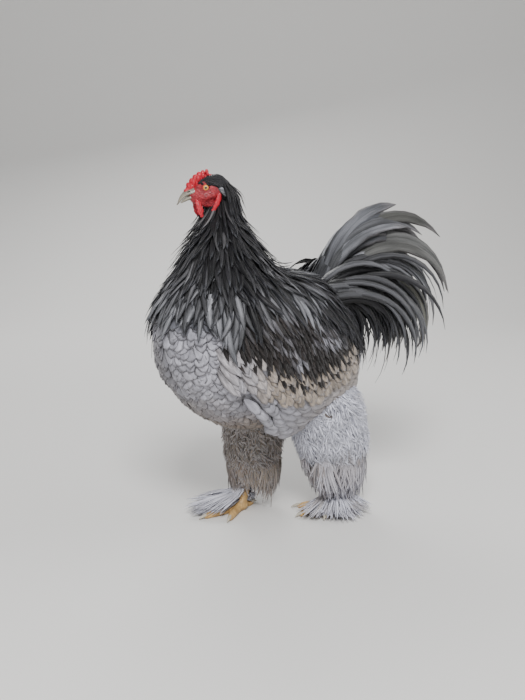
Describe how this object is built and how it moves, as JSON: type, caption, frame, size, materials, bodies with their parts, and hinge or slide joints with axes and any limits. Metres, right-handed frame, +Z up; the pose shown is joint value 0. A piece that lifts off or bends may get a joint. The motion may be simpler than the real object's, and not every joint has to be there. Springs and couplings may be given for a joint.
{
  "type": "brahma chicken",
  "caption": "Life-size standing blue Brahma cock with a pea comb, full hackle and saddle, arched tail and feathered feet.",
  "frame": {"origin": "middle of the bird's bounding box, on the floor it stands on", "axes": "-X is the way the breast faces, -Y the bird's left side, +Z up"},
  "size_m": [0.6594, 0.3238, 0.669],
  "materials": {
    "eye": "wet and glossy",
    "face_skin": "matt, finely wrinkled",
    "comb": "satin, pebbled",
    "bill": "satin horn",
    "claw": "satin horn",
    "shank_skin": "matt scales",
    "breast_feathers": "matt, laced",
    "hackle_feathers": "slight sheen",
    "saddle_feathers": "slight sheen",
    "wing_feathers": "matt, laced",
    "tail_feathers": "slight sheen",
    "fluff": "soft and matt",
    "foot_feathers": "matt"
  },
  "bodies": {
    "root": {"eye_left": "eye", "eye_right": "eye", "head": "face_skin", "bill_upper": "bill", "bill_lower": "bill", "comb": "comb", "wattle_left": "comb", "ear_lobe_left": "comb", "wattle_right": "comb", "ear_lobe_right": "comb", "torso": "breast_feathers", "foot_right": "shank_skin", "claw_right_inner": "claw", "claw_right_middle": "claw", "claw_right_outer": "claw", "claw_right_back": "claw", "shank_right": "shank_skin", "foot_left": "shank_skin", "claw_left_inner": "claw", "claw_left_middle": "claw", "claw_left_outer": "claw", "claw_left_back": "claw", "shank_left": "shank_skin", "neck": "hackle_feathers", "saddle_left": "saddle_feathers", "saddle_right": "saddle_feathers", "wing_left": "wing_feathers", "wing_right": "wing_feathers", "sickles_left": "tail_feathers", "sickles_right": "tail_feathers", "tail": "tail_feathers", "thigh_right": "fluff", "boot_right": "foot_feathers", "thigh_left": "fluff", "boot_left": "foot_feathers"}
  },
  "joints": []
}
